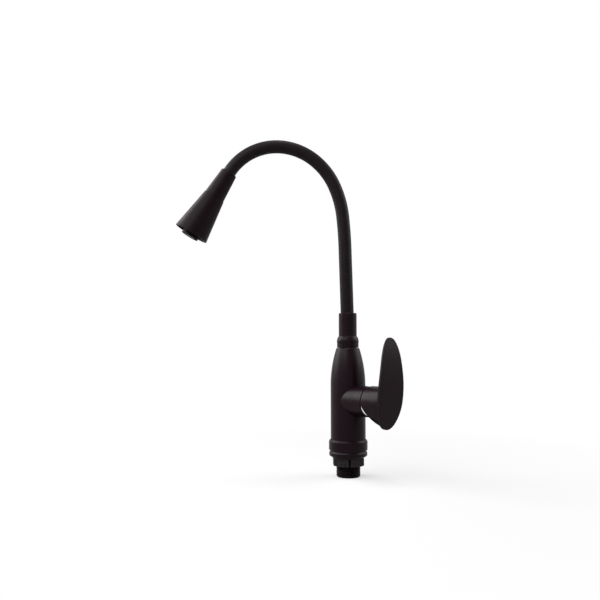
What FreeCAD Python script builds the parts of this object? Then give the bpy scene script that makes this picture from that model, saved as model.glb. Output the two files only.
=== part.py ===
import FreeCAD, Part
import math
import os

os.makedirs("parts", exist_ok=True)
V = FreeCAD.Vector

# A single-lever kitchen mixer tap with a flexible hose spout, in millimetres.
# Origin: centre of the base ring's underside, on the deck. +Z up, +X along the cartridge port
# towards the lever, -Y the front.

# Clearances shared by all pieces
RUN_GAP = 0.05       # radial, shaft in its bore
TURN_GAP = 0.3       # between turning pieces that don't guide each other
SEAT_GAP = 0.1       # push fit of a piece in its pocket
FACE_GAP = 0.4       # between the faces of pieces that turn on each other

# Body
BODY_R = 24.1
BODY_FOOT_Z = 2.0
SHOULDER_Z = 97.0    # where the straight side ends
SHOULDER_ARC = 166.0
BODY_TOP_Z = 148.6
BODY_TOP_CHAMFER = 1.0
SHANK_BORE_TOP_Z = 14.0
CHAMBER_WALL = 4.1   # round the room for the supply hoses' ends
SPOUT_BORE_R = 10.2
SPOUT_BORE_DEPTH = 37.2
BUSH_STEP = 1.8      # the bush is this much wider than the spout bore
BUSH_LENGTH = 9.0

# Side port and water channels
AXIS_Z = 76.6
PORT_R = 20.4        # at its end
PORT_ROOT_IN = 1.5   # its cone on the body's axis, inside the body's side
PORT_WALL = 2.8      # at its end
PORT_CHAMFER = 0.8
PORT_FLOOR_X = 9.0
CHAMBER_DROP = 26.6  # from the port's axis down to the chamber's top
INLET_Y = 7.8
INLET_THREAD_R = 4.5
INLET_THREAD_LENGTH = 12.0
INLET_DRILL_R = 3.2
CHANNEL_R = 2.6
CHANNEL_Y = 6.2
CHANNEL_RISE = 6.0   # the inlet channels above the port's axis
OUTLET_R = 3.4
OUTLET_DROP = 6.5    # the outlet channel below the port's axis
OUTLET_BACK_X = -10.0

# Base ring, gasket, shank, washer and nut
RING_WALL = 2.5
RING_SKIRT_IN = 0.35  # the part below the groove, inside the ring's widest radius
RING_FOOT_IN = 2.5
RING_FOOT_ROUND = 3.0
RING_H = 23.0
RING_ROUND_IN = 1.7  # the top edge's round, inwards
RING_ROUND_H = 5.2   # and downwards
GROOVE_TOP_Z = 9.2
GROOVE_H = 2.0
GROOVE_DEPTH = 1.1
GROOVE_SLOPE_H = 2.0  # from the groove's floor down to the skirt
SEAT_WIDTH = 1.8     # of the ring's rim outside the gasket
GASKET_H = 1.6
SHANK_IN = 7.5       # the thread inside the body's side
SHANK_WALL = 3.4
SHANK_FOOT_Z = -28.0
SHANK_CHAMFER = 1.6
WASHER_IN = 0.4      # inside the gasket's edge
WASHER_TOP_Z = -0.3
WASHER_H = 1.8
NUT_WALL = 4.0       # from the thread to a flat
NUT_H = 10.4
NUT_CHAMFER = 1.2
NUT_SLOT = 2.8
NUT_TURN_DEG = -37.5  # a corner and the slot point this way

# Cartridge, stacked from the port's floor outwards
SEAL_H = 1.6
SEAL_WALL = 1.6
BASE_H = 8.0
FIXED_DISC_R = 14.5
FIXED_DISC_H = 4.0
MOVING_DISC_R = 12.8
MOVING_DISC_H = 3.4
MOVING_DISC_DROP = 2.2
MIXING_R = 6.4       # recess that joins the channels
MIXING_DROP = 2.0
MIXING_DEPTH = 1.7
CARRIER_R = 9.0
CARRIER_H = 4.4
ROTOR_HEAD_R = 15.6
ROTOR_HEAD_H = 4.4
ROTOR_NECK_R = 12.2
ROTOR_NECK_OUT = 4.0  # beyond the pivot
ROTOR_SLOT_Z = 8.6
HOUSING_WALL = 1.3
HOUSING_LID = 2.0
PIVOT_OUT = 2.0      # from the housing's end
PIN_R = 1.5
PIN_LENGTH = 20.0
STEM_SIDE = 7.0
STEM_END = 36.0      # from the pivot
STEM_INNER = 5.0
FINGER_R = 1.8
BALL_R = 2.6
BALL_IN = 1.3        # the ball's centre inside the carrier's face
BORE_NUT_H = 4.0
BORE_NUT_NECK_IN = 2.6
BORE_NUT_NECK = 3.5
PORT_REACH = 7.9     # the port's end beyond the pivot

# Dome cover, a spherical zone about the pivot
DOME_R = 20.8
DOME_WALL = 1.0
DOME_OPENING_DEG = 41.0

# Lever
CUP_GAP = 0.8        # the hub's inside is a sphere round the dome
RIM_GAP = 2.5        # from the port's end to the hub's rim
RIM_BEND_DROP = 3.0  # below the port's axis, where the rim starts to lean away
RIM_FOOT_GAP = 11.2  # from the port's end to the rim's foot
HUB_SECTIONS = (     # distance from the port's end, half width, top, bottom, pointedness
    (-1.4, 21.7, 21.4, 26.2, 2.2),
    (9.1, 21.6, 21.5, 26.6, 1.8),
    (21.1, 21.2, 21.8, 31.6, 1.5),
    (35.1, 20.4, 22.3, 34.0, 1.3),
)
HUB_POINTS = 16
BLADE_OUT = 40.4     # the front's crest from the port's end
BLADE_RISE = 41.4    # and above the port's axis
BLADE_BOW_R = 280.0
BACK_BOW_R = 354.0
BACK_OUT = 36.7
BACK_RISE = 51.5
BLADE_EDGE = 0.6
BLADE_OUTLINE = (    # half width, height above the port's axis
    (0.0, 85.8),
    (6.6, 83.2),
    (11.0, 77.0),
    (15.0, 66.4),
    (18.6, 47.4),
    (21.0, 27.4),
    (21.6, 11.4),
    (20.4, -6.6),
    (16.4, -19.6),
    (11.6, -28.0),
    (6.8, -32.4),
    (0.0, -34.4),
)
GRUB_R = 2.5
GRUB_LENGTH = 8.0
GRUB_OUT = 29.0      # from the pivot along the stem
PLUG_R = 3.4
PLUG_H = 2.4
PLUG_INSET = 2.2

# Swivel
SWIVEL_GAP = 0.3
SWIVEL_RING_R = 15.0
SWIVEL_RING_H = 16.3
SWIVEL_SHOULDER = 10.0
NIPPLE_STEP = 1.2    # the nipple is this much narrower than the spout bore
NIPPLE_WALL = 3.0
NIPPLE_FLANGE_H = 17.0
NIPPLE_LAND = 5.0    # from the flange's foot to its first O-ring, and between the two
NIPPLE_TOP_WALL = 4.0
NIPPLE_RISE = 9.8    # above the swivel ring
O_RING_CORD_R = 0.9
BARB_LENGTH = 9.0
BARB_WALL = 1.0
COLLAR_R = 12.5
COLLAR_H = 31.8
COLLAR_EDGE = 0.7

# Hose: one length and one bend for each section, the first with a straight foot
SPOUT_DEG = -124.0   # the way the spout points, seen from above
HOSE_R = 9.15
SLEEVE_WALL = 1.8
GOOSENECK_WALL = 2.2
TUBE_WALL = 1.6
HOSE_FOOT_GAP = 0.3  # above the nipple
HOSE_LEAN_DEG = 1.7
HOSE_FOOT = 67.0
SECTION_LENGTH = 45.8
SECTION_BENDS_DEG = (0.0, 4.5, 18.5, 27.0, 31.0, 33.3, 33.0)
HOSE_TAIL = 9.0      # straight end inside the connector
LINK_GAP = 2.0       # between the gooseneck's lengths

# Spray head, measured along its axis from its top
HEAD_TOP_R = 11.5
HEAD_EDGE = 0.6
SEAM_R = 14.6
SEAM_STEP = 0.6
SEAM_AT = 39.5
SPIGOT_R = 12.5
SPIGOT_LENGTH = 14.5
SPIGOT_WALL = 4.5
SPIGOT_RING_AT = 4.5  # the O-ring from the seam
WEB_H = 9.5          # the shell's inner collar, from the seam
CLIP_H = 1.2
CLIP_DEPTH = 0.9
CLIP_PROUD = 1.5
CLIP_MOUTH = 4.0
FITTING_R = 8.8
FITTING_LENGTH = 13.0
FITTING_BARB = 8.0
GASKET_RING_H = 2.0  # sealing washer behind the fitting
VALVE_WALL = 1.4
VALVE_LENGTH = 12.0
VALVE_BRIDGE = 1.5
VALVE_HOLES = 6
VALVE_HOLE_R = 1.3
VALVE_HOLES_R = 3.6
SHELL_LENGTH = 61.5  # from the seam to the mouth
MOUTH_R = 24.3
SHELL_WALL = 2.0
SHELL_EDGE = 0.5
MODE_DISC_H = 4.0
JET_HOLE_R = 2.2
JET_HOLES_R = 4.5
RAIN_HOLE_R = 1.6
RAIN_HOLES_R = 12.6
DISTRIBUTOR_H = 3.6
DISTRIBUTOR_TUBE_R = 9.0
DISTRIBUTOR_WALL = 1.4
PLATE_INSET = 8.0    # the spray plate's back from the mouth
PLATE_H = 2.5
NOZZLE_RING_R = 17.2
NOZZLE_COUNT = 20
NOZZLE_R = 1.3
NOZZLE_TIP_R = 0.8
NOZZLE_H = 2.2
AERATOR_R = 12.4
AERATOR_WALL = 1.6
AERATOR_INSET = 15.0
AERATOR_BACK = 2.0
AERATOR_PROUD = 4.3
MESH_H = 1.2
MESH_INSET = 1.0
MESH_RINGS = 4
MESH_RIB = 0.7

UP = V(0, 0, 1)
DOWN = V(0, 0, -1)
OUT = V(1, 0, 0)
SIDE = V(0, 1, 0)
ORIGIN = V(0, 0, 0)
BEYOND = 200.0       # longer than any piece that is trimmed

# Radii and places that follow from the sizes above
CHAMBER_R = BODY_R - CHAMBER_WALL
CHAMBER_TOP_Z = AXIS_Z - CHAMBER_DROP
SPOUT_BORE_FOOT_Z = BODY_TOP_Z - SPOUT_BORE_DEPTH
BUSH_R = SPOUT_BORE_R + BUSH_STEP
BUSH_FOOT_Z = BODY_TOP_Z - BUSH_LENGTH
PORT_ROOT_R = BODY_R - PORT_ROOT_IN
PORT_BORE_R = PORT_R - PORT_WALL
RING_R = BODY_R + RING_WALL
RING_SKIRT_R = RING_R - RING_SKIRT_IN
RING_FOOT_R = RING_R - RING_FOOT_IN
GASKET_R = RING_FOOT_R - SEAT_WIDTH
SHANK_R = BODY_R - SHANK_IN
SHANK_BORE_R = SHANK_R - SHANK_WALL
NUT_ACROSS_FLATS = 2 * (SHANK_R + NUT_WALL)
BASE_END_X = PORT_FLOOR_X + BASE_H
FIXED_END_X = BASE_END_X + FIXED_DISC_H
MOVING_END_X = FIXED_END_X + MOVING_DISC_H
CARRIER_END_X = MOVING_END_X + CARRIER_H
ROTOR_FOOT_X = CARRIER_END_X + FACE_GAP
ROTOR_HEAD_END_X = ROTOR_FOOT_X + ROTOR_HEAD_H
LID_X = ROTOR_HEAD_END_X + FACE_GAP
HOUSING_END_X = LID_X + HOUSING_LID
HOUSING_R = PORT_BORE_R - SEAT_GAP
HOUSING_BORE_R = HOUSING_R - HOUSING_WALL
BORE_NUT_END_X = HOUSING_END_X + BORE_NUT_H
PIVOT_X = HOUSING_END_X + PIVOT_OUT
BALL_OUT = PIVOT_X - CARRIER_END_X + BALL_IN
PORT_END_X = PIVOT_X + PORT_REACH
CUP_R = DOME_R + CUP_GAP
PORT_FOOT = V(0, 0, AXIS_Z)
PIVOT = V(PIVOT_X, 0, AXIS_Z)
NIPPLE_R = SPOUT_BORE_R - NIPPLE_STEP
NIPPLE_FLANGE_R = SPOUT_BORE_R - RUN_GAP
NIPPLE_FLANGE_TOP_Z = BUSH_FOOT_Z - FACE_GAP
NIPPLE_FOOT_Z = NIPPLE_FLANGE_TOP_Z - NIPPLE_FLANGE_H
O_RING_PLACES = (NIPPLE_FOOT_Z + NIPPLE_LAND, NIPPLE_FOOT_Z + 2 * NIPPLE_LAND)
SWIVEL_FOOT_Z = BODY_TOP_Z + SWIVEL_GAP
SWIVEL_TOP_Z = SWIVEL_FOOT_Z + SWIVEL_RING_H
NIPPLE_TOP_Z = SWIVEL_TOP_Z + NIPPLE_RISE
HOSE_START = V(0, 0, NIPPLE_TOP_Z + HOSE_FOOT_GAP)
GOOSENECK_R = HOSE_R - SLEEVE_WALL
TUBE_R = GOOSENECK_R - GOOSENECK_WALL
BARB_R = TUBE_R - TUBE_WALL
BARB_BORE_R = BARB_R - BARB_WALL
SHELL_START = SEAM_AT + FACE_GAP
HEAD_END = SEAM_AT + SHELL_LENGTH
SPIGOT_END = SEAM_AT + SPIGOT_LENGTH
SPIGOT_BORE_R = SPIGOT_R - SPIGOT_WALL
WEB_END = SEAM_AT + WEB_H
CLIP_AT = WEB_END + SEAT_GAP
CLIP_BORE_R = SPIGOT_R - CLIP_DEPTH
FITTING_END = HOSE_TAIL + FITTING_LENGTH
VALVE_R = SPIGOT_BORE_R - SEAT_GAP
MODE_END = SPIGOT_END + MODE_DISC_H
DISTRIBUTOR_AT = MODE_END + FACE_GAP
PIPE_BORE_R = DISTRIBUTOR_TUBE_R - DISTRIBUTOR_WALL
PLATE_AT = HEAD_END - PLATE_INSET
AERATOR_AT = HEAD_END - AERATOR_INSET
AERATOR_END = HEAD_END + AERATOR_PROUD
AERATOR_BORE_R = AERATOR_R - AERATOR_WALL
MESH_AT = AERATOR_END - MESH_INSET - MESH_H


def polar(deg):
    return V(math.cos(math.radians(deg)), math.sin(math.radians(deg)), 0)


def save(name, *solids):
    shape = solids[0] if len(solids) == 1 else Part.makeCompound(list(solids))
    shape.exportStep("parts/" + name + ".step")


def turned(profile, foot=ORIGIN, axis=UP, radial=OUT):
    """A solid of revolution. Each profile item is (radius, height), or a pair of such points for an
    arc through the first to the second."""
    def place(point):
        return foot + radial * point[0] + axis * point[1]

    edges = []
    here = place(profile[0])
    for item in list(profile[1:]) + [profile[0]]:
        if isinstance(item[0], tuple):
            through, end = place(item[0]), place(item[1])
            edges.append(Part.Arc(here, through, end).toShape())
        else:
            end = place(item)
            edges.append(Part.LineSegment(here, end).toShape())
        here = end
    return Part.Face(Part.Wire(edges)).revolve(foot, axis, 360)


def tube(outer, inner, start, end, foot=ORIGIN, axis=UP):
    solid = Part.makeCylinder(outer, end - start, foot + axis * start, axis)
    if inner > 0:
        solid = solid.cut(Part.makeCylinder(inner, end - start, foot + axis * start, axis))
    return solid


def rod(radius, start, end):
    return Part.makeCylinder(radius, (end - start).Length, start, end - start)


def box_about(centre, size_x, size_y, size_z):
    corner = centre - V(size_x / 2, size_y / 2, size_z / 2)
    return Part.makeBox(size_x, size_y, size_z, corner)


def arc_middle(radius, from_deg, to_deg):
    middle = math.radians((from_deg + to_deg) / 2)
    return (radius * math.sin(middle), radius * math.cos(middle))


def quarter_round(outer_r, start_z, inner_r, end_z):
    """The middle of a quarter round from (outer_r, start_z) to (inner_r, end_z)."""
    share = math.cos(math.radians(45))
    return (inner_r + (outer_r - inner_r) * share, start_z + (end_z - start_z) * share)


# Body

def shoulder_r(z):
    return BODY_R - SHOULDER_ARC + math.sqrt(SHOULDER_ARC**2 - (z - SHOULDER_Z) ** 2)


def body_casting():
    edge_z = BODY_TOP_Z - BODY_TOP_CHAMFER
    middle_z = (SHOULDER_Z + edge_z) / 2
    outer = turned((
        (0, BODY_FOOT_Z),
        (BODY_R, BODY_FOOT_Z),
        (BODY_R, SHOULDER_Z),
        ((shoulder_r(middle_z), middle_z), (shoulder_r(edge_z), edge_z)),
        (shoulder_r(edge_z) - BODY_TOP_CHAMFER, BODY_TOP_Z),
        (0, BODY_TOP_Z),
    ))
    port = turned((
        (0, 0),
        (PORT_ROOT_R, 0),
        (PORT_R, PORT_END_X - PORT_CHAMFER),
        (PORT_R - PORT_CHAMFER, PORT_END_X),
        (0, PORT_END_X),
    ), PORT_FOOT, OUT, UP)
    body = outer.fuse(port).removeSplitter()
    inlet_z = AXIS_Z + CHANNEL_RISE
    outlet_z = AXIS_Z - OUTLET_DROP
    cuts = [
        tube(SHANK_R, 0, BODY_FOOT_Z, SHANK_BORE_TOP_Z),
        tube(CHAMBER_R, 0, SHANK_BORE_TOP_Z, CHAMBER_TOP_Z),
        tube(SPOUT_BORE_R, 0, SPOUT_BORE_FOOT_Z, BODY_TOP_Z),
        tube(BUSH_R, 0, BUSH_FOOT_Z, BODY_TOP_Z),
        port_tube(PORT_BORE_R, 0, PORT_FLOOR_X, PORT_END_X),
        rod(OUTLET_R, V(PORT_FLOOR_X, 0, outlet_z), V(OUTLET_BACK_X, 0, outlet_z)),
        rod(OUTLET_R, V(OUTLET_BACK_X, 0, outlet_z), V(OUTLET_BACK_X, 0, SPOUT_BORE_FOOT_Z)),
        rod(OUTLET_R, V(OUTLET_BACK_X, 0, SPOUT_BORE_FOOT_Z), V(0, 0, SPOUT_BORE_FOOT_Z)),
        Part.makeSphere(OUTLET_R, V(OUTLET_BACK_X, 0, outlet_z)),
        Part.makeSphere(OUTLET_R, V(OUTLET_BACK_X, 0, SPOUT_BORE_FOOT_Z)),
    ]
    for side in (-1, 1):
        y = side * INLET_Y
        thread_z = CHAMBER_TOP_Z + INLET_THREAD_LENGTH
        cuts.append(rod(INLET_THREAD_R, V(0, y, CHAMBER_TOP_Z), V(0, y, thread_z)))
        cuts.append(rod(INLET_DRILL_R, V(0, y, thread_z), V(0, y, inlet_z + CHANNEL_R)))
        y = side * CHANNEL_Y
        cuts.append(rod(CHANNEL_R, V(0, y, inlet_z), V(PORT_FLOOR_X, y, inlet_z)))
    return body.cut(cuts)


def swivel_bush():
    return tube(BUSH_R, NIPPLE_R + RUN_GAP, BUSH_FOOT_Z, SWIVEL_FOOT_Z)


# Foot

def base_ring():
    groove_foot = GROOVE_TOP_Z - GROOVE_H
    groove_r = RING_SKIRT_R - GROOVE_DEPTH
    round_z = RING_H - RING_ROUND_H
    top_r = RING_R - RING_ROUND_IN
    return turned((
        (SHANK_R + TURN_GAP, 0),
        (RING_FOOT_R, 0),
        (quarter_round(RING_SKIRT_R, RING_FOOT_ROUND, RING_FOOT_R, 0), (RING_SKIRT_R, RING_FOOT_ROUND)),
        (RING_SKIRT_R, groove_foot - GROOVE_SLOPE_H),
        (groove_r, groove_foot),
        (groove_r, GROOVE_TOP_Z),
        (RING_R, GROOVE_TOP_Z),
        (RING_R, round_z),
        (quarter_round(RING_R, round_z, top_r, RING_H), (top_r, RING_H)),
        (BODY_R + SEAT_GAP, RING_H),
        (BODY_R + SEAT_GAP, BODY_FOOT_Z),
        (SHANK_R + TURN_GAP, BODY_FOOT_Z),
    )).cut(base_gasket())


def base_gasket():
    return tube(GASKET_R, SHANK_R + TURN_GAP, 0, GASKET_H)


def mounting_shank():
    return turned((
        (SHANK_BORE_R, SHANK_FOOT_Z),
        (SHANK_R - SHANK_CHAMFER, SHANK_FOOT_Z),
        (SHANK_R, SHANK_FOOT_Z + SHANK_CHAMFER),
        (SHANK_R, SHANK_BORE_TOP_Z),
        (SHANK_BORE_R, SHANK_BORE_TOP_Z),
    ))


def fixing_washer():
    return tube(GASKET_R - WASHER_IN, SHANK_R + TURN_GAP, WASHER_TOP_Z - WASHER_H, WASHER_TOP_Z)


def fixing_nut():
    top_z = WASHER_TOP_Z - WASHER_H
    foot_z = top_z - NUT_H
    corner_r = NUT_ACROSS_FLATS / 2 / math.cos(math.radians(30))
    corners = [polar(NUT_TURN_DEG + 60 * k) * corner_r + UP * foot_z for k in range(7)]
    prism = Part.Face(Part.makePolygon(corners)).extrude(UP * NUT_H)
    chamfered = turned((
        (0, foot_z),
        (NUT_ACROSS_FLATS / 2, foot_z),
        (corner_r, foot_z + NUT_CHAMFER),
        (corner_r, top_z),
        (0, top_z),
    ))
    slot = Part.makeBox(corner_r, NUT_SLOT, NUT_H, V(0, -NUT_SLOT / 2, foot_z))
    slot.rotate(ORIGIN, UP, NUT_TURN_DEG)
    bore = tube(SHANK_R, 0, foot_z, top_z)
    return prism.common(chamfered).cut([bore, slot])


# Cartridge

def port_tube(outer, inner, start, end):
    return tube(outer, inner, start, end, PORT_FOOT, OUT)


def port_holes(start, end, radius, outlet_radius):
    rise = AXIS_Z + CHANNEL_RISE
    holes = [rod(radius, V(start, s * CHANNEL_Y, rise), V(end, s * CHANNEL_Y, rise)) for s in (-1, 1)]
    drop = AXIS_Z - OUTLET_DROP
    holes.append(rod(outlet_radius, V(start, 0, drop), V(end, 0, drop)))
    return holes


def seal_rooms():
    end = PORT_FLOOR_X + SEAL_H
    return port_holes(PORT_FLOOR_X, end, CHANNEL_R + SEAL_WALL, OUTLET_R + SEAL_WALL)


def cartridge_base():
    channels = port_holes(PORT_FLOOR_X, BASE_END_X, CHANNEL_R, OUTLET_R)
    return port_tube(HOUSING_BORE_R, 0, PORT_FLOOR_X, BASE_END_X).cut(seal_rooms() + channels)


def cartridge_seals():
    bores = port_holes(PORT_FLOOR_X, PORT_FLOOR_X + SEAL_H, CHANNEL_R, OUTLET_R)
    return [ring.cut(bore) for ring, bore in zip(seal_rooms(), bores)]


def fixed_disc():
    disc = port_tube(FIXED_DISC_R, 0, BASE_END_X, FIXED_END_X)
    return disc.cut(port_holes(BASE_END_X, FIXED_END_X, CHANNEL_R, OUTLET_R))


def moving_disc():
    centre = PORT_FOOT - UP * MOVING_DISC_DROP
    disc = tube(MOVING_DISC_R, 0, FIXED_END_X + RUN_GAP, MOVING_END_X, centre, OUT)
    mixing = tube(MIXING_R, 0, FIXED_END_X, FIXED_END_X + MIXING_DEPTH, centre - UP * MIXING_DROP, OUT)
    return disc.cut(mixing)


def disc_carrier():
    centre = PORT_FOOT - UP * MOVING_DISC_DROP
    carrier = tube(CARRIER_R, 0, MOVING_END_X, CARRIER_END_X, centre, OUT)
    ball_room = BALL_R + TURN_GAP
    return carrier.cut(port_tube(ball_room, 0, PIVOT_X - BALL_OUT - ball_room, CARRIER_END_X))


def cartridge_housing():
    wall = port_tube(HOUSING_R, HOUSING_BORE_R, PORT_FLOOR_X, LID_X)
    lid = port_tube(HOUSING_R, ROTOR_NECK_R + TURN_GAP, LID_X, HOUSING_END_X)
    return wall.fuse(lid).removeSplitter()


def cartridge_rotor():
    neck_end = PIVOT_X + ROTOR_NECK_OUT
    head = port_tube(ROTOR_HEAD_R, 0, ROTOR_FOOT_X, ROTOR_HEAD_END_X)
    neck = port_tube(ROTOR_NECK_R, 0, ROTOR_HEAD_END_X, neck_end)
    middle = V((ROTOR_FOOT_X + neck_end) / 2, 0, AXIS_Z)
    slot = box_about(middle, neck_end - ROTOR_FOOT_X, STEM_SIDE + 2 * TURN_GAP, 2 * ROTOR_SLOT_Z)
    return head.fuse(neck).removeSplitter().cut([slot, pivot_pin()])


def pivot_pin():
    return rod(PIN_R, PIVOT - SIDE * PIN_LENGTH / 2, PIVOT + SIDE * PIN_LENGTH / 2)


def cartridge_nut():
    bore = ROTOR_NECK_R + FACE_GAP
    ring = port_tube(PORT_BORE_R, bore, HOUSING_END_X, BORE_NUT_END_X)
    neck_r = PORT_BORE_R - BORE_NUT_NECK_IN
    neck = port_tube(neck_r, bore, BORE_NUT_END_X, BORE_NUT_END_X + BORE_NUT_NECK)
    return ring.fuse(neck).removeSplitter()


def dome_cover():
    inner_r = DOME_R - DOME_WALL
    skirt_r = PORT_BORE_R - DOME_WALL
    skirt_foot = BORE_NUT_END_X - PIVOT_X

    def along(radius, r):
        return math.sqrt(radius**2 - r**2)

    foot_r = along(DOME_R, PORT_REACH)
    opening = math.radians(DOME_OPENING_DEG)
    lip = (DOME_R * math.sin(opening), DOME_R * math.cos(opening))
    inner_lip = (inner_r * math.sin(opening), inner_r * math.cos(opening))
    foot_deg = math.degrees(math.atan2(foot_r, PORT_REACH))
    skirt_deg = math.degrees(math.asin(skirt_r / inner_r))
    return turned((
        (foot_r, PORT_REACH),
        (arc_middle(DOME_R, foot_deg, DOME_OPENING_DEG), lip),
        inner_lip,
        (arc_middle(inner_r, skirt_deg, DOME_OPENING_DEG), (skirt_r, along(inner_r, skirt_r))),
        (skirt_r, skirt_foot),
        (PORT_BORE_R, skirt_foot),
        (PORT_BORE_R, PORT_REACH),
    ), PIVOT, OUT, UP)


# Lever

def lever_stem():
    side = STEM_SIDE
    shaft = Part.makeBox(STEM_INNER + STEM_END, side, side, PIVOT - V(STEM_INNER, side / 2, side / 2))
    shaft = shaft.cut(rod(PIN_R + RUN_GAP, PIVOT - SIDE * side, PIVOT + SIDE * side))
    ball_centre = PIVOT - OUT * BALL_OUT
    finger = rod(FINGER_R, ball_centre, PIVOT - OUT * STEM_INNER)
    ball = Part.makeSphere(BALL_R, ball_centre)
    return shaft.fuse([finger, ball]).removeSplitter()


def hub_section(out, half_width, top, bottom, pointed):
    points = []
    for k in range(HUB_POINTS):
        angle = 2 * math.pi * k / HUB_POINTS
        power = 2.0 / (pointed if math.sin(angle) < 0 else 2.0)
        across = math.copysign(abs(math.cos(angle)) ** power, math.cos(angle)) * half_width
        high = abs(math.sin(angle)) ** power * (top if math.sin(angle) > 0 else -bottom)
        points.append(V(PORT_END_X + out, across, AXIS_Z + high))
    curve = Part.BSplineCurve()
    curve.interpolate(Points=points, PeriodicFlag=True)
    return Part.Wire(curve.toShape())


def bow(radius, out, rise):
    """A cylinder lying across the blade, its crest this far out from the port's end."""
    centre = V(PORT_END_X + out - radius, 0, AXIS_Z + rise)
    return rod(radius, centre - SIDE * BEYOND / 2, centre + SIDE * BEYOND / 2)


def blade():
    side_points = [V(0, y, AXIS_Z + high) for y, high in BLADE_OUTLINE]
    other_points = [V(0, -y, AXIS_Z + high) for y, high in reversed(BLADE_OUTLINE[1:-1])]
    curve = Part.BSplineCurve()
    curve.interpolate(Points=side_points + other_points, PeriodicFlag=True)
    leaf = Part.Face(Part.Wire(curve.toShape())).extrude(OUT * BEYOND)
    front_bow = bow(BLADE_BOW_R, BLADE_OUT, BLADE_RISE)
    plate = leaf.common(front_bow).cut(bow(BACK_BOW_R, BACK_OUT, BACK_RISE))
    front = max(plate.Faces, key=lambda face: face.CenterOfMass.x)
    return plate.makeFillet(BLADE_EDGE, front.Edges)


def lever_handle():
    hub = Part.makeLoft([hub_section(*row) for row in HUB_SECTIONS], True, False)
    hub = hub.common(bow(BLADE_BOW_R, BLADE_OUT - BLADE_EDGE, BLADE_RISE))
    handle = hub.fuse(blade())
    bend = V(PORT_END_X + RIM_GAP, 0, AXIS_Z - RIM_BEND_DROP)
    lean = math.degrees(math.atan2(RIM_FOOT_GAP - RIM_GAP, PORT_R - RIM_BEND_DROP))
    trim = box_about(V(-BEYOND / 2, 0, 0), BEYOND, BEYOND, BEYOND)
    foot_trim = trim.copy()
    foot_trim.rotate(ORIGIN, SIDE, -lean)
    trim.translate(bend)
    foot_trim.translate(bend)
    cup = Part.makeSphere(CUP_R, PIVOT)
    side = STEM_SIDE + 2 * SEAT_GAP
    socket = Part.makeBox(STEM_END + SEAT_GAP, side, side, PIVOT - V(0, side / 2, side / 2))
    grub_top = PIVOT + OUT * GRUB_OUT
    grub_hole = rod(GRUB_R, grub_top, grub_top + DOWN * BEYOND)
    plug_hole = rod(PLUG_R, grub_top + DOWN * plug_depth(), grub_top + DOWN * BEYOND)
    return handle.cut([trim, foot_trim, cup, socket, grub_hole, plug_hole])


def hub_bottom(out):
    rows = HUB_SECTIONS
    for near, far in zip(rows, rows[1:]):
        if near[0] <= out <= far[0]:
            share = (out - near[0]) / (far[0] - near[0])
            return near[3] + share * (far[3] - near[3])
    return rows[-1][3]


def plug_depth():
    return hub_bottom(GRUB_OUT - PORT_REACH) - PLUG_H - PLUG_INSET


def lever_screw():
    top = PIVOT + OUT * GRUB_OUT + DOWN * (STEM_SIDE / 2 + SEAT_GAP)
    screw = rod(GRUB_R, top, top + DOWN * GRUB_LENGTH)
    socket = Part.makeCylinder(GRUB_R / 2, GRUB_LENGTH / 2, top + DOWN * GRUB_LENGTH / 2, DOWN)
    return screw.cut(socket)


def screw_plug():
    foot = PIVOT + OUT * GRUB_OUT + DOWN * plug_depth()
    return rod(PLUG_R, foot, foot + DOWN * PLUG_H)


# Swivel

def o_ring(outer, z, foot=ORIGIN, axis=UP):
    return Part.makeTorus(outer - O_RING_CORD_R, O_RING_CORD_R, foot + axis * z, axis)


def o_ring_groove(outer, z, foot=ORIGIN, axis=UP):
    half = O_RING_CORD_R + SEAT_GAP
    return tube(outer, outer - 2 * O_RING_CORD_R - SEAT_GAP, z - half, z + half, foot, axis)


def swivel_nipple():
    flange = tube(NIPPLE_FLANGE_R, 0, NIPPLE_FOOT_Z, NIPPLE_FLANGE_TOP_Z)
    pipe = tube(NIPPLE_R, 0, NIPPLE_FLANGE_TOP_Z, NIPPLE_TOP_Z)
    barb = tube(BARB_R, 0, -NIPPLE_TOP_WALL / 2, BARB_LENGTH, HOSE_START, heading(HOSE_LEAN_DEG))
    barb_bore = tube(BARB_BORE_R, 0, -NIPPLE_TOP_WALL, BARB_LENGTH, HOSE_START, heading(HOSE_LEAN_DEG))
    bore = tube(NIPPLE_R - NIPPLE_WALL, 0, NIPPLE_FOOT_Z, HOSE_START.z - NIPPLE_TOP_WALL)
    grooves = [o_ring_groove(NIPPLE_FLANGE_R, z) for z in O_RING_PLACES]
    return flange.fuse([pipe, barb]).removeSplitter().cut([bore, barb_bore] + grooves)


def swivel_ring():
    shoulder_z = SWIVEL_TOP_Z - SWIVEL_SHOULDER
    return turned((
        (NIPPLE_R, SWIVEL_FOOT_Z),
        (SWIVEL_RING_R, SWIVEL_FOOT_Z),
        (SWIVEL_RING_R, shoulder_z),
        (quarter_round(SWIVEL_RING_R, shoulder_z, COLLAR_R, SWIVEL_TOP_Z), (COLLAR_R, SWIVEL_TOP_Z)),
        (NIPPLE_R, SWIVEL_TOP_Z),
    ))


def hose_collar():
    top_z = SWIVEL_TOP_Z + COLLAR_H
    collar = turned((
        (NIPPLE_R, SWIVEL_TOP_Z),
        (COLLAR_R, SWIVEL_TOP_Z),
        (COLLAR_R, top_z - COLLAR_EDGE),
        (COLLAR_R - COLLAR_EDGE, top_z),
        (NIPPLE_R, top_z),
    ))
    return collar.cut(tube(HOSE_R, 0, -HOSE_FOOT_GAP, HOSE_FOOT, HOSE_START, heading(HOSE_LEAN_DEG)))


# Hose: each section is a straight run or one arc in the spout's plane

SPOUT = polar(SPOUT_DEG)
BEND_AXIS = UP.cross(SPOUT)


def heading(lean_deg):
    lean = math.radians(lean_deg)
    return SPOUT * math.sin(lean) + UP * math.cos(lean)


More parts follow.
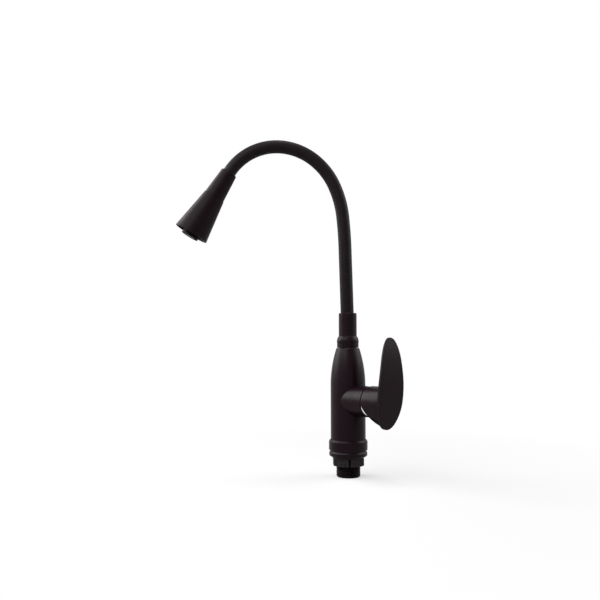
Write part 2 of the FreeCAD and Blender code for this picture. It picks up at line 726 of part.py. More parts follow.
def hose_pieces():
    """Each section as a list of (start point, heading in degrees from up, length, bend)."""
    start = HOSE_START
    lean = HOSE_LEAN_DEG
    sections = []
    for number, bend in enumerate(SECTION_BENDS_DEG):
        runs = [(SECTION_LENGTH, bend)]
        if number == 0:
            runs.insert(0, (HOSE_FOOT, 0.0))
        if number == len(SECTION_BENDS_DEG) - 1:
            runs.append((HOSE_TAIL, 0.0))
        section = []
        for length, turn in runs:
            section.append((start, lean, length, turn))
            start = run_end(start, lean, length, turn)
            lean += turn
        sections.append(section)
    return sections, start, lean


def bend_centre(start, lean, length, turn):
    radius = length / math.radians(turn)
    return start + heading(lean + 90) * radius


def run_end(start, lean, length, turn):
    if turn == 0:
        return start + heading(lean) * length
    spin = FreeCAD.Rotation(BEND_AXIS, turn)
    centre = bend_centre(start, lean, length, turn)
    return centre + spin.multVec(start - centre)


def run_solid(outer, inner, start, lean, length, turn):
    along = heading(lean)
    rims = [Part.Wire(Part.makeCircle(r, start, along)) for r in (outer, inner)]
    ring = Part.Face(rims)
    if turn == 0:
        return ring.extrude(along * length)
    return ring.revolve(bend_centre(start, lean, length, turn), BEND_AXIS, turn)


def shortened(runs, from_start, from_end):
    """The same runs without their first and last millimetres."""
    runs = list(runs)
    start, lean, length, turn = runs[0]
    share = from_start / length
    begin = run_end(start, lean, from_start, turn * share) if from_start else start
    runs[0] = (begin, lean + turn * share, length - from_start, turn * (1 - share))
    start, lean, length, turn = runs[-1]
    share = from_end / length
    runs[-1] = (start, lean, length - from_end, turn * (1 - share))
    return runs


def hose_length(outer, inner, runs):
    solids = [run_solid(outer, inner, *run) for run in runs]
    return solids[0] if len(solids) == 1 else solids[0].fuse(solids[1:])


HOSE_SECTIONS, HOSE_END, HEAD_LEAN = hose_pieces()


def save_hose():
    last = len(HOSE_SECTIONS) - 1
    for number, runs in enumerate(HOSE_SECTIONS):
        name = "_" + str(number + 1)
        gap_before = LINK_GAP / 2 if number > 0 else 0
        gap_after = LINK_GAP / 2 if number < last else 0
        link = shortened(runs, gap_before, gap_after)
        save("hose_sleeve" + name, hose_length(HOSE_R, GOOSENECK_R, runs))
        save("gooseneck" + name, hose_length(GOOSENECK_R, TUBE_R, link))
        save("water_tube" + name, hose_length(TUBE_R, BARB_R, runs))


# Spray head

HEAD_AXIS = heading(HEAD_LEAN)
HEAD_RADIAL = heading(HEAD_LEAN - 90)
HEAD_TOP = HOSE_END - HEAD_AXIS * HOSE_TAIL


def head_turned(profile):
    return turned(profile, HEAD_TOP, HEAD_AXIS, HEAD_RADIAL)


def head_tube(outer, inner, start, end):
    return tube(outer, inner, start, end, HEAD_TOP, HEAD_AXIS)


def shell_r(along):
    start_r = SEAM_R + SEAM_STEP
    return start_r + (MOUTH_R - start_r) * (along - SHELL_START) / (HEAD_END - SHELL_START)


def shell_bore_r(along):
    return shell_r(along) - SHELL_WALL - SEAT_GAP


def head_connector():
    solid = head_turned((
        (HOSE_R, 0),
        (HEAD_TOP_R - HEAD_EDGE, 0),
        (HEAD_TOP_R, HEAD_EDGE),
        (SEAM_R, SEAM_AT),
        (SPIGOT_R, SEAM_AT),
        (SPIGOT_R, SPIGOT_END),
        (SPIGOT_BORE_R, SPIGOT_END),
        (SPIGOT_BORE_R, FITTING_END),
        (FITTING_R, FITTING_END),
        (FITTING_R, HOSE_TAIL),
        (HOSE_R, HOSE_TAIL),
    ))
    groove = o_ring_groove(SPIGOT_R, SEAM_AT + SPIGOT_RING_AT, HEAD_TOP, HEAD_AXIS)
    clip_groove = head_tube(SPIGOT_R, CLIP_BORE_R, CLIP_AT, CLIP_AT + CLIP_H)
    return solid.cut([groove, clip_groove])


def hose_end_fitting():
    body = head_tube(FITTING_R, BARB_BORE_R, HOSE_TAIL, FITTING_END)
    barb = head_tube(BARB_R, BARB_BORE_R, HOSE_TAIL - FITTING_BARB, HOSE_TAIL)
    return body.fuse(barb).removeSplitter()


def check_valve():
    start = FITTING_END + GASKET_RING_H
    end = start + VALVE_LENGTH
    body = head_tube(VALVE_R, VALVE_R - VALVE_WALL, start, end)
    bridge = head_tube(VALVE_R - VALVE_WALL, 0, end - 2 * VALVE_BRIDGE, end - VALVE_BRIDGE)
    holes = head_holes(VALVE_HOLES, VALVE_HOLES_R, VALVE_HOLE_R, start, end)
    return body.fuse(bridge).removeSplitter().cut(holes)


def head_circlip():
    ring = head_tube(SPIGOT_R + CLIP_PROUD, CLIP_BORE_R, CLIP_AT, CLIP_AT + CLIP_H)
    mouth = Part.makeBox(CLIP_MOUTH, 2 * SPIGOT_R, 2 * CLIP_H, V(-CLIP_MOUTH / 2, 0, -CLIP_H / 2))
    turn = FreeCAD.Rotation(UP, HEAD_AXIS)
    mouth = mouth.transformed(FreeCAD.Placement(HEAD_TOP + HEAD_AXIS * CLIP_AT, turn).toMatrix(), True)
    return ring.cut(mouth)


def head_holes(count, ring_r, hole_r, start, end, first_deg=0.0):
    holes = []
    for k in range(count):
        turn = FreeCAD.Rotation(HEAD_AXIS, first_deg + 360.0 / count * k)
        place = HEAD_TOP + turn.multVec(HEAD_RADIAL) * ring_r
        holes.append(tube(hole_r, 0, start, end, place, HEAD_AXIS))
    return holes


def mode_disc():
    disc = head_tube(SPIGOT_R, 0, SPIGOT_END, MODE_END)
    return disc.cut(head_holes(2, JET_HOLES_R, JET_HOLE_R, SPIGOT_END, MODE_END))


def distributor():
    end = DISTRIBUTOR_AT + DISTRIBUTOR_H
    plate = head_turned((
        (0, DISTRIBUTOR_AT),
        (shell_bore_r(DISTRIBUTOR_AT), DISTRIBUTOR_AT),
        (shell_bore_r(end), end),
        (0, end),
    ))
    pipe = head_tube(DISTRIBUTOR_TUBE_R, 0, end, AERATOR_AT)
    pipe_bore = head_tube(PIPE_BORE_R, 0, end, AERATOR_AT)
    jets = head_holes(2, JET_HOLES_R, JET_HOLE_R, DISTRIBUTOR_AT, end)
    rain = head_holes(2, RAIN_HOLES_R, RAIN_HOLE_R, DISTRIBUTOR_AT, end, 90)
    return plate.fuse(pipe).removeSplitter().cut([pipe_bore] + jets + rain)


def head_shell():
    cavity_r = shell_r(WEB_END) - SHELL_WALL
    return head_turned((
        (SPIGOT_R + RUN_GAP, SHELL_START),
        (shell_r(SHELL_START), SHELL_START),
        (MOUTH_R, HEAD_END - SHELL_EDGE),
        (MOUTH_R - SHELL_EDGE, HEAD_END),
        (MOUTH_R - SHELL_WALL, HEAD_END),
        (cavity_r, WEB_END),
        (SPIGOT_R + RUN_GAP, WEB_END),
    ))


def spray_plate():
    end = PLATE_AT + PLATE_H
    plate = head_turned((
        (AERATOR_R + SEAT_GAP, PLATE_AT),
        (shell_bore_r(PLATE_AT), PLATE_AT),
        (shell_bore_r(end), end),
        (AERATOR_R + SEAT_GAP, end),
    ))
    return plate.cut(head_holes(NOZZLE_COUNT, NOZZLE_RING_R, NOZZLE_R, PLATE_AT, end))


def spray_nozzles():
    nozzles = []
    end = PLATE_AT + PLATE_H
    for k in range(NOZZLE_COUNT):
        turn = FreeCAD.Rotation(HEAD_AXIS, 360.0 / NOZZLE_COUNT * k)
        foot = HEAD_TOP + turn.multVec(HEAD_RADIAL) * NOZZLE_RING_R
        nozzles.append(turned((
            (NOZZLE_TIP_R / 2, PLATE_AT),
            (NOZZLE_R, PLATE_AT),
            (NOZZLE_R, end),
            (NOZZLE_TIP_R, end + NOZZLE_H),
            (NOZZLE_TIP_R / 2, end + NOZZLE_H),
        ), foot, HEAD_AXIS, HEAD_RADIAL))
    return nozzles


def aerator_housing():
    return head_turned((
        (PIPE_BORE_R, AERATOR_AT),
        (AERATOR_R, AERATOR_AT),
        (AERATOR_R, AERATOR_END - SHELL_EDGE),
        (AERATOR_R - SHELL_EDGE, AERATOR_END),
        (AERATOR_BORE_R, AERATOR_END),
        (AERATOR_BORE_R, AERATOR_AT + AERATOR_BACK),
        (PIPE_BORE_R, AERATOR_AT + AERATOR_BACK),
    ))


def aerator_mesh():
    start = MESH_AT
    end = MESH_AT + MESH_H
    step = AERATOR_BORE_R / (MESH_RINGS + 0.5)
    rings = []
    for k in range(MESH_RINGS):
        ring_r = AERATOR_BORE_R - k * step
        rings.append(head_tube(ring_r, ring_r - MESH_RIB, start, end))
    spokes = []
    for k in range(4):
        turn = FreeCAD.Rotation(HEAD_AXIS, 45 * k)
        corner = V(-AERATOR_BORE_R, -MESH_RIB / 2, 0)
        spoke = Part.makeBox(2 * AERATOR_BORE_R, MESH_RIB, MESH_H, corner)
        place = FreeCAD.Placement(HEAD_TOP + HEAD_AXIS * start, turn * FreeCAD.Rotation(UP, HEAD_AXIS))
        spokes.append(spoke.transformed(place.toMatrix(), True))
    grid = rings[0].fuse(rings[1:] + spokes)
    return grid.common(head_tube(AERATOR_BORE_R, 0, start, end)).removeSplitter()


def aerator_washer():
    return head_tube(AERATOR_BORE_R, AERATOR_BORE_R - AERATOR_BACK, MESH_AT - AERATOR_BACK, MESH_AT)


save("body_casting", body_casting())
save("swivel_bush", swivel_bush())
save("base_ring", base_ring())
save("base_gasket", base_gasket())
save("mounting_shank", mounting_shank())
save("fixing_washer", fixing_washer())
save("fixing_nut", fixing_nut())
save("cartridge_base", cartridge_base())
save("cartridge_seals", *cartridge_seals())
save("fixed_ceramic_disc", fixed_disc())
save("moving_ceramic_disc", moving_disc())
save("disc_carrier", disc_carrier())
save("cartridge_housing", cartridge_housing())
save("cartridge_rotor", cartridge_rotor())
save("pivot_pin", pivot_pin())
save("cartridge_nut", cartridge_nut())
save("dome_cover", dome_cover())
save("lever_stem", lever_stem())
save("lever_handle", lever_handle())
save("lever_screw", lever_screw())
save("screw_plug", screw_plug())
save("swivel_nipple", swivel_nipple())
save("swivel_o_rings", *[o_ring(NIPPLE_FLANGE_R, z) for z in O_RING_PLACES])
save("swivel_ring", swivel_ring())
save("hose_collar", hose_collar())
save_hose()
save("head_connector", head_connector())
save("hose_end_fitting", hose_end_fitting())
save("connector_washer", head_tube(VALVE_R, BARB_R, FITTING_END, FITTING_END + GASKET_RING_H))
save("check_valve", check_valve())
save("spigot_o_ring", o_ring(SPIGOT_R, SEAM_AT + SPIGOT_RING_AT, HEAD_TOP, HEAD_AXIS))
save("head_circlip", head_circlip())
save("mode_disc", mode_disc())
save("distributor", distributor())
save("head_shell", head_shell())
save("spray_plate", spray_plate())
save("spray_nozzles", *spray_nozzles())
save("aerator_housing", aerator_housing())
save("aerator_mesh", aerator_mesh())
save("aerator_washer", aerator_washer())
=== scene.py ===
import bpy
import math
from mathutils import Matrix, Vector


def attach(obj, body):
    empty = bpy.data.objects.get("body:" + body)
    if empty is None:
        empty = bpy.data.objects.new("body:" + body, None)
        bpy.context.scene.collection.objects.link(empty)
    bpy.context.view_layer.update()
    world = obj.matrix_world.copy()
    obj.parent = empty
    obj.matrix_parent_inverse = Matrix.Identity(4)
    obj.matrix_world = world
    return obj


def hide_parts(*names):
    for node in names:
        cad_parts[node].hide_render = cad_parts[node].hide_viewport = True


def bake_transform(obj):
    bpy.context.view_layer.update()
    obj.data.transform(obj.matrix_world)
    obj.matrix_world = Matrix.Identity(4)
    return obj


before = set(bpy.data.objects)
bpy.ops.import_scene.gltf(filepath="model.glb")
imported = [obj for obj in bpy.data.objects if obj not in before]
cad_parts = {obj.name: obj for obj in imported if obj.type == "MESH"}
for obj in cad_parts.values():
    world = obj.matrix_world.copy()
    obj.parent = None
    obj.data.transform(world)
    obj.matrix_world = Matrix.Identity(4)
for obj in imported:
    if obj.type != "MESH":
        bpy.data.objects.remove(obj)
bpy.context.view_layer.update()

MM = 0.001
UP = Vector((0, 0, 1))
WHITE = (1, 1, 1, 1)


# Node materials. Texture coordinates are object coordinates, which are the row frame's metres.

NOISE_LOW = 0.3         # nearly all of a noise lies between these two values
NOISE_HIGH = 0.7
WAVE_LENGTH = 0.4       # of the patches' size
WAVE_DEPTH = 3          # of the grain's depth
CLOUD_MM = 9.0          # the patches of tone on bare metal
STREAK_DEPTH_MM = 0.004


def bare_material(name):
    made = bpy.data.materials.new(name)
    made.use_nodes = True
    tree = made.node_tree
    tree.nodes.clear()
    return made, tree, tree.nodes.new("ShaderNodeOutputMaterial")


def new_material(name):
    made, tree, output = bare_material(name)
    shader = tree.nodes.new("ShaderNodeBsdfPrincipled")
    tree.links.new(shader.outputs["BSDF"], output.inputs["Surface"])
    return made, tree, shader


def noise(tree, grain_mm, detail, roughness, stretch=(1, 1, 1)):
    """Noise whose grains are about grain_mm across, longer where stretch is under 1."""
    coordinates = tree.nodes.new("ShaderNodeTexCoord")
    mapping = tree.nodes.new("ShaderNodeMapping")
    mapping.inputs["Scale"].default_value = stretch
    tree.links.new(coordinates.outputs["Object"], mapping.inputs["Vector"])
    node = tree.nodes.new("ShaderNodeTexNoise")
    node.inputs["Scale"].default_value = 1 / (grain_mm * MM)
    node.inputs["Detail"].default_value = detail
    node.inputs["Roughness"].default_value = roughness
    tree.links.new(mapping.outputs["Vector"], node.inputs["Vector"])
    return node.outputs["Fac"]


def spread(tree, value, low, high, start=NOISE_LOW, end=NOISE_HIGH):
    """The value's range start to end, carried to low to high."""
    node = tree.nodes.new("ShaderNodeMapRange")
    node.inputs["From Min"].default_value = start
    node.inputs["From Max"].default_value = end
    node.inputs["To Min"].default_value = low
    node.inputs["To Max"].default_value = high
    tree.links.new(value, node.inputs["Value"])
    return node.outputs["Result"]


def tinted(tree, value, dark, light):
    """The dark tone where the noise is low and the light one where it is high."""
    node = tree.nodes.new("ShaderNodeValToRGB")
    ends = node.color_ramp.elements
    for end, position, tone in zip(ends, (NOISE_LOW, NOISE_HIGH), (dark, light)):
        end.position = position
        end.color = (*tone, 1)
    tree.links.new(value, node.inputs["Fac"])
    return node.outputs["Color"]


def relief(tree, height, depth_mm, strength, under=None):
    """A bump of the given depth, laid over the bump under it where there is one."""
    node = tree.nodes.new("ShaderNodeBump")
    node.inputs["Distance"].default_value = depth_mm * MM
    node.inputs["Strength"].default_value = strength
    tree.links.new(height, node.inputs["Height"])
    if under:
        tree.links.new(under, node.inputs["Normal"])
    return node.outputs["Normal"]


def matte_finish(name, dark, light, rough, grain_mm, patch_mm, depth_mm,
                 metallic=0.0, specular=0.5):
    """A surface with patches of two tones, uneven gloss and a fine grain over a slow wave."""
    made, tree, shader = new_material(name)
    patches = noise(tree, patch_mm, detail=4.0, roughness=0.6)
    grain = noise(tree, grain_mm, detail=2.0, roughness=0.55)
    wave = noise(tree, patch_mm * WAVE_LENGTH, detail=1.0, roughness=0.4)
    tree.links.new(tinted(tree, patches, dark, light), shader.inputs["Base Color"])
    tree.links.new(spread(tree, patches, *rough), shader.inputs["Roughness"])
    slow = relief(tree, wave, depth_mm * WAVE_DEPTH, strength=0.25)
    fine = relief(tree, grain, depth_mm, strength=0.5, under=slow)
    tree.links.new(fine, shader.inputs["Normal"])
    shader.inputs["Metallic"].default_value = metallic
    shader.inputs["Specular IOR Level"].default_value = specular
    return made


def brushed_finish(name, dark, light, rough, grain_mm, stretch):
    """Bare metal with fine streaks left by its turning tool or its polish."""
    made, tree, shader = new_material(name)
    streaks = noise(tree, grain_mm, detail=3.0, roughness=0.65, stretch=stretch)
    clouds = noise(tree, CLOUD_MM, detail=3.0, roughness=0.5)
    tree.links.new(tinted(tree, clouds, dark, light), shader.inputs["Base Color"])
    tree.links.new(spread(tree, streaks, *rough), shader.inputs["Roughness"])
    scratches = relief(tree, streaks, STREAK_DEPTH_MM, strength=0.35)
    tree.links.new(scratches, shader.inputs["Normal"])
    shader.inputs["Metallic"].default_value = 1.0
    return made


# Tones are linear colours. rough is the range of roughness over the patches or streaks.

MATTE_LOOKS = {
    "black_coat": dict(
        dark=(0.0038, 0.0005, 0.0019), light=(0.0054, 0.0012, 0.0031), rough=(0.35, 0.41),
        grain_mm=0.35, patch_mm=14.0, depth_mm=0.006, specular=0.08),
    "black_plastic": dict(
        dark=(0.0034, 0.0008, 0.0020), light=(0.0052, 0.0018, 0.0032), rough=(0.42, 0.50),
        grain_mm=0.22, patch_mm=9.0, depth_mm=0.005, specular=0.055),
    "dark_metal": dict(
        dark=(0.004, 0.0035, 0.0035), light=(0.022, 0.019, 0.018), rough=(0.40, 0.60),
        grain_mm=0.5, patch_mm=2.6, depth_mm=0.012, metallic=0.3, specular=0.10),
    "thread_metal": dict(
        dark=(0.0026, 0.0012, 0.0018), light=(0.0070, 0.0046, 0.0056), rough=(0.40, 0.56),
        grain_mm=0.4, patch_mm=2.2, depth_mm=0.010, specular=0.05),
    "hose_rubber": dict(
        dark=(0.0044, 0.0022, 0.0032), light=(0.0064, 0.0040, 0.0050), rough=(0.46, 0.54),
        grain_mm=0.30, patch_mm=11.0, depth_mm=0.007, specular=0.07),
    "tube_plastic": dict(
        dark=(0.42, 0.44, 0.47), light=(0.54, 0.56, 0.58), rough=(0.35, 0.48),
        grain_mm=0.4, patch_mm=6.0, depth_mm=0.006),
    "seal_rubber": dict(
        dark=(0.010, 0.010, 0.010), light=(0.022, 0.021, 0.020), rough=(0.55, 0.72),
        grain_mm=0.25, patch_mm=3.0, depth_mm=0.010),
    "nozzle_rubber": dict(
        dark=(0.055, 0.055, 0.058), light=(0.085, 0.085, 0.088), rough=(0.50, 0.62),
        grain_mm=0.18, patch_mm=2.0, depth_mm=0.008),
    "ceramic": dict(
        dark=(0.72, 0.71, 0.68), light=(0.82, 0.81, 0.78), rough=(0.12, 0.25),
        grain_mm=0.2, patch_mm=5.0, depth_mm=0.003),
    "inner_plastic": dict(
        dark=(0.50, 0.50, 0.48), light=(0.62, 0.62, 0.60), rough=(0.38, 0.52),
        grain_mm=0.3, patch_mm=5.0, depth_mm=0.008),
    "mesh_plastic": dict(
        dark=(0.20, 0.20, 0.20), light=(0.30, 0.30, 0.30), rough=(0.35, 0.5),
        grain_mm=0.25, patch_mm=3.0, depth_mm=0.006),
}
BRUSHED_LOOKS = {
    "chrome": dict(
        dark=(0.70, 0.71, 0.73), light=(0.80, 0.81, 0.82), rough=(0.07, 0.14),
        grain_mm=0.25, stretch=(0.15, 1, 1)),
    "gooseneck_steel": dict(
        dark=(0.42, 0.42, 0.43), light=(0.55, 0.55, 0.55), rough=(0.25, 0.40),
        grain_mm=0.3, stretch=(1, 1, 0.2)),
    "steel": dict(
        dark=(0.50, 0.50, 0.50), light=(0.62, 0.62, 0.61), rough=(0.20, 0.34),
        grain_mm=0.3, stretch=(1, 1, 0.2)),
    "brass": dict(
        dark=(0.58, 0.42, 0.17), light=(0.72, 0.54, 0.26), rough=(0.22, 0.38),
        grain_mm=0.3, stretch=(1, 1, 0.2)),
}
FINISHES = {name: matte_finish(name, **look) for name, look in MATTE_LOOKS.items()}
FINISHES.update({name: brushed_finish(name, **look) for name, look in BRUSHED_LOOKS.items()})


def dress_nodes():
    """Gives each CAD node the finish of its own material slot."""
    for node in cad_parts.values():
        for place in node.material_slots:
            slot = place.material.name.split(".")[0]
            place.material = FINISHES[slot]


# Meshes

def new_piece(name, points, faces, finish):
    """A smooth piece that belongs to one of the record's slots and shows one of the finishes."""
    mesh = bpy.data.meshes.new(name)
    mesh.from_pydata(points, [], faces)
    mesh.validate()
    mesh.materials.append(FINISHES[finish])
    for face in mesh.polygons:
        face.use_smooth = True
    made = bpy.data.objects.new(name, mesh)
    bpy.context.scene.collection.objects.link(made)
    return made


def circle(radius, z, columns):
    turns = [math.tau * column / columns for column in range(columns)]
    return [(radius * math.cos(turn), radius * math.sin(turn), z) for turn in turns]


def grid_faces(rows, columns, first=0, flipped=False):
    """Four-sided faces between rows of points, where each row is a closed ring."""
    faces = []
    for row in range(rows - 1):
        for column in range(columns):
            following = (column + 1) % columns
            low = first + row * columns
            high = low + columns
            face = (low + column, low + following, high + following, high + column)
            faces.append(face[::-1] if flipped else face)
    return faces


# The hose: one smooth sleeve on the line that the CAD's sections follow. The spout leans
# towards SIDEWAYS, 34 degrees to the left of the front, and bends about BEND_AXIS.

BEND_AXIS = Vector((0.829038, -0.559193, 0)).normalized()
SIDEWAYS = Vector((-0.559193, -0.829038, 0)).normalized()
HOSE_START = Vector((0, 0, 0.1753))
START_LEAN_DEG = 1.7
SECTION_LENGTH = 0.0458
SECTION_BENDS_DEG = (0, 4.5, 18.5, 27, 31, 33.3, 33)
SECTION_COUNT = len(SECTION_BENDS_DEG)
HOSE_FOOT = 0.067       # the straight run before the first section
HOSE_TAIL = 0.009       # the straight run after the last one
HOSE_R = 0.00915
HOSE_BORE_R = 0.00735
RING_STEP = 0.0009
HOSE_COLUMNS = 72


def heading(lean):
    """The direction that leans that far from up, towards SIDEWAYS."""
    return UP * math.cos(lean) + SIDEWAYS * math.sin(lean)


def hose_runs():
    """For each section, its list of (length, bend) runs from foot to tail."""
    sections = [[(SECTION_LENGTH, math.radians(bend))] for bend in SECTION_BENDS_DEG]
    sections[0].insert(0, (HOSE_FOOT, 0.0))
    sections[-1].append((HOSE_TAIL, 0.0))
    return sections


def advance(start, lean, length, bend):
    """The end of a run from start that sets out at lean and turns by bend on its way."""
    if bend == 0:
        return start + heading(lean) * length
    radius = length / bend
    centre = start + heading(lean + math.pi / 2) * radius
    return centre + heading(lean + bend - math.pi / 2) * radius


def hose_line():
    """Rings along the hose, each as (point, lean, section number)."""
    rings = []
    start = HOSE_START
    lean = math.radians(START_LEAN_DEG)
    for number, runs in enumerate(hose_runs()):
        for length, bend in runs:
            steps = round(length / RING_STEP)
            for step in range(steps):
                share = step / steps
                point = advance(start, lean, length * share, bend * share)
                rings.append((point, lean + bend * share, number))
            start = advance(start, lean, length, bend)
            lean += bend
    rings.append((start, lean, SECTION_COUNT - 1))
    return rings


def ring_points(point, lean, radius):
    """A circle about a point of the hose's line, square to the line."""
    out = heading(lean + math.pi / 2)
    turns = [math.tau * column / HOSE_COLUMNS for column in range(HOSE_COLUMNS)]
    return [point + (out * math.cos(turn) + BEND_AXIS * math.sin(turn)) * radius
            for turn in turns]


def sleeve_piece(name, rings, walled_start, walled_end):
    """A tube through the rings, with its wall's end face where that end is open to view."""
    rows = [(point, lean, HOSE_R) for point, lean, number in rings]
    if walled_start:
        rows.insert(0, (rings[0][0], rings[0][1], HOSE_BORE_R))
    if walled_end:
        rows.append((rings[-1][0], rings[-1][1], HOSE_BORE_R))
    points = []
    for row in rows:
        points.extend(ring_points(*row))
    faces = grid_faces(len(rows), HOSE_COLUMNS, flipped=True)
    return new_piece(name, points, faces, "hose_rubber")


def build_hose():
    """Six pieces that meet in the middle of the sections, each with one joint inside it."""
    rings = hose_line()
    sections = [[i for i, ring in enumerate(rings) if ring[2] == number]
                for number in range(SECTION_COUNT)]
    middles = [inside[len(inside) // 2] for inside in sections]
    joints = [inside[0] for inside in sections[1:]]
    last = SECTION_COUNT - 2
    for number, joint in enumerate(joints):
        begin = 0 if number == 0 else middles[number]
        end = len(rings) - 1 if number == last else middles[number + 1]
        piece = sleeve_piece("hose_sleeve_span_" + str(number + 1), rings[begin:end + 1],
                             number == 0, number == last)
        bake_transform(piece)
        stands_for = ["hose_sleeve_" + str(number + 1)]
        if number == last:
            stands_for.append("hose_sleeve_" + str(number + 2))
        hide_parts(*stands_for)


# The shank with its real thread

THREAD_R = 0.0166
THREAD_PITCH = 0.002
THREAD_DEPTH = 0.00115
THREAD_FLAT = 0.16      # of the pitch is flat at the crest, and as much at the root
THREAD_COLUMNS = 120
STEPS_PER_PITCH = 16
SHANK_BORE_R = 0.0132
SHANK_FOOT_Z = -0.028
SHANK_TOP_Z = 0.014
SHANK_CHAMFER = 0.0016


def thread_depth(phase):
    """Depth below the crest at a phase through the pitch: flat crest, flank, flat root."""
    away = abs(phase % 1.0 - 0.5) * 2
    slope = (away - THREAD_FLAT) / (1 - 2 * THREAD_FLAT)
    return THREAD_DEPTH * min(1.0, max(0.0, slope))


def build_shank():
    """A threaded tube: rows of the helix from foot to top, then the bore's two rings."""
    rows = round((SHANK_TOP_Z - SHANK_FOOT_Z) / THREAD_PITCH * STEPS_PER_PITCH)
    points = []
    for row in range(rows + 1):
        z = SHANK_FOOT_Z + (SHANK_TOP_Z - SHANK_FOOT_Z) * row / rows
        edge = min(z - SHANK_FOOT_Z, SHANK_TOP_Z - z)
        cap = THREAD_R - max(0.0, SHANK_CHAMFER - edge)
        for column in range(THREAD_COLUMNS):
            share = column / THREAD_COLUMNS
            radius = min(cap, THREAD_R - thread_depth(z / THREAD_PITCH - share))
            turn = math.tau * share
            points.append((radius * math.cos(turn), radius * math.sin(turn), z))
    faces = grid_faces(rows + 1, THREAD_COLUMNS)
    top = rows * THREAD_COLUMNS
    bore = len(points)
    bore_top = bore + THREAD_COLUMNS
    points.extend(circle(SHANK_BORE_R, SHANK_FOOT_Z, THREAD_COLUMNS))
    points.extend(circle(SHANK_BORE_R, SHANK_TOP_Z, THREAD_COLUMNS))
    faces.extend(grid_faces(2, THREAD_COLUMNS, bore, flipped=True))
    for column in range(THREAD_COLUMNS):
        following = (column + 1) % THREAD_COLUMNS
        faces.append((column, bore + column, bore + following, following))
        faces.append((top + column, top + following, bore_top + following, bore_top + column))
    piece = new_piece("shank_thread", points, faces, "thread_metal")
    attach(piece, "tap_body")
    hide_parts("mounting_shank")


dress_nodes()
build_hose()
build_shank()


# Camera at the photograph's place

VIEW_AZIMUTH = math.radians(48)
VIEW_DISTANCE = 0.980
VIEW_HEIGHT = 0.1513
FOCAL_PX = 700
PHOTO_PX = 600
SENSOR_MM = 36
HORIZON_DROP_PX = 46    # the horizon is this far below the photograph's middle
AXIS_SHIFT_PX = 47.8    # the body's axis is this far right of it
TO_CAMERA = Vector((math.sin(VIEW_AZIMUTH), -math.cos(VIEW_AZIMUTH), 0))
TO_RIGHT = Vector((math.cos(VIEW_AZIMUTH), math.sin(VIEW_AZIMUTH), 0))


def turn_to(thing, direction):
    """Points a camera or lamp along the direction, with its top side up."""
    thing.rotation_mode = "QUATERNION"
    thing.rotation_quaternion = direction.to_track_quat("-Z", "Y")


def make_camera():
    pitch = math.atan(HORIZON_DROP_PX / FOCAL_PX)
    yaw = math.atan(AXIS_SHIFT_PX / FOCAL_PX * math.cos(pitch))
    level = -TO_CAMERA * math.cos(yaw) - TO_RIGHT * math.sin(yaw)
    data = bpy.data.cameras.new("camera")
    data.sensor_width = SENSOR_MM
    data.lens = SENSOR_MM * FOCAL_PX / PHOTO_PX
    camera = bpy.data.objects.new("camera", data)
    camera.location = TO_CAMERA * VIEW_DISTANCE + UP * VIEW_HEIGHT
    turn_to(camera, level * math.cos(pitch) + UP * math.sin(pitch))
    bpy.context.scene.collection.objects.link(camera)
    bpy.context.scene.camera = camera


# Floor, world and lamps

FLOOR_R = 6.0
FLOOR_Z = SHANK_FOOT_Z
FLOOR_COLUMNS = 96
FLOOR_TONE = (0.56, 0.56, 0.56, 1)
NEAR_R = 0.05           # up to here the floor shows NEAR_WHITE of the plain white
FAR_R = 0.6             # and from here on FAR_WHITE of it
NEAR_WHITE = 0.55
FAR_WHITE = 1.0
ROOM_STRENGTH = 0.12    # of the white that lights the tap
SHOWN_STRENGTH = 1.0    # of the plain white that shows as the background

# Name, metres right of the camera's line, towards the camera and up, size, watts, and the
# height on the axis that the lamp aims at
LAMPS = (
    ("left_box", -1.25, -0.22, 0.84, (1.15, 1.0), 28, 0.1),
    ("right_box", 1.25, -0.25, 0.86, (1.15, 1.0), 17, 0.1),
    ("top_box", 0, 0.05, 1.5, (0.4, 0.4), 6, 0.2),
    ("upper_left_box", -0.65, 0.78, 1.0, (1.2, 0.7), 17, 0.35),
)


def combined(tree, operation, first, second):
    node = tree.nodes.new("ShaderNodeMath")
    node.operation = operation
    tree.links.new(first, node.inputs[0])
    tree.links.new(second, node.inputs[1])
    return node.outputs["Value"]


def seen_directly(tree):
    """1 for camera, glossy and transmission rays, which show the background, 0 for the rest."""
    path = tree.nodes.new("ShaderNodeLightPath")
    result = path.outputs["Is Camera Ray"]
    for kind in ("Is Glossy Ray", "Is Transmission Ray"):
        result = combined(tree, "MAXIMUM", result, path.outputs[kind])
    return result


def show_mix(tree, output, share, first, second):
    """Shows the first surface where the share is 0 and the second where it is 1."""
    mixed = tree.nodes.new("ShaderNodeMixShader")
    tree.links.new(share, mixed.inputs["Fac"])
    tree.links.new(first, mixed.inputs[1])
    tree.links.new(second, mixed.inputs[2])
    tree.links.new(mixed.outputs["Shader"], output.inputs["Surface"])


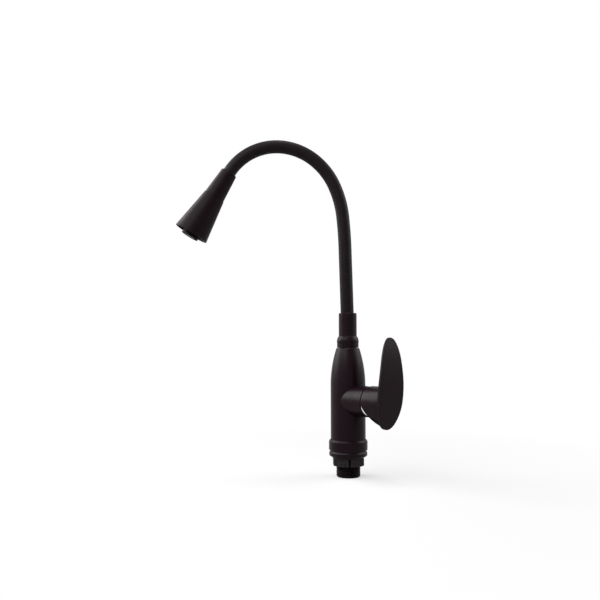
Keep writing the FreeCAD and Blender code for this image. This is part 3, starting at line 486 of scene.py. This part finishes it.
def make_floor():
    """A pale round floor that turns to plain white away from the tap."""
    points = circle(FLOOR_R, FLOOR_Z, FLOOR_COLUMNS)
    mesh = bpy.data.meshes.new("floor")
    mesh.from_pydata(points, [], [tuple(range(FLOOR_COLUMNS))])
    floor = bpy.data.objects.new("floor", mesh)
    bpy.context.scene.collection.objects.link(floor)
    made, tree, output = bare_material("pale_floor")
    matte = tree.nodes.new("ShaderNodeBsdfDiffuse")
    matte.inputs["Color"].default_value = FLOOR_TONE
    plain = tree.nodes.new("ShaderNodeEmission")
    plain.inputs["Strength"].default_value = SHOWN_STRENGTH
    place = tree.nodes.new("ShaderNodeTexCoord")
    distance = tree.nodes.new("ShaderNodeVectorMath")
    distance.operation = "LENGTH"
    tree.links.new(place.outputs["Object"], distance.inputs[0])
    fade = spread(tree, distance.outputs["Value"], NEAR_WHITE, FAR_WHITE, NEAR_R, FAR_R)
    share = combined(tree, "MULTIPLY", fade, seen_directly(tree))
    show_mix(tree, output, share, matte.outputs["BSDF"], plain.outputs["Emission"])
    mesh.materials.append(made)


def background(tree, strength):
    node = tree.nodes.new("ShaderNodeBackground")
    node.inputs["Color"].default_value = WHITE
    node.inputs["Strength"].default_value = strength
    return node.outputs["Background"]


def make_world():
    """A dim white room that shows as plain white behind the tap."""
    world = bpy.data.worlds.new("studio")
    bpy.context.scene.world = world
    world.use_nodes = True
    tree = world.node_tree
    tree.nodes.clear()
    output = tree.nodes.new("ShaderNodeOutputWorld")
    show_mix(tree, output, seen_directly(tree),
             background(tree, ROOM_STRENGTH), background(tree, SHOWN_STRENGTH))


def soft_box(name, right, near, height, size, power, target_height):
    data = bpy.data.lights.new(name, "AREA")
    data.shape = "RECTANGLE"
    data.size, data.size_y = size
    data.energy = power
    lamp = bpy.data.objects.new(name, data)
    lamp.location = TO_RIGHT * right + TO_CAMERA * near + UP * height
    turn_to(lamp, UP * target_height - lamp.location)
    bpy.context.scene.collection.objects.link(lamp)


make_camera()
make_floor()
make_world()
for lamp_row in LAMPS:
    soft_box(*lamp_row)

bpy.context.scene.view_settings.view_transform = "Standard"
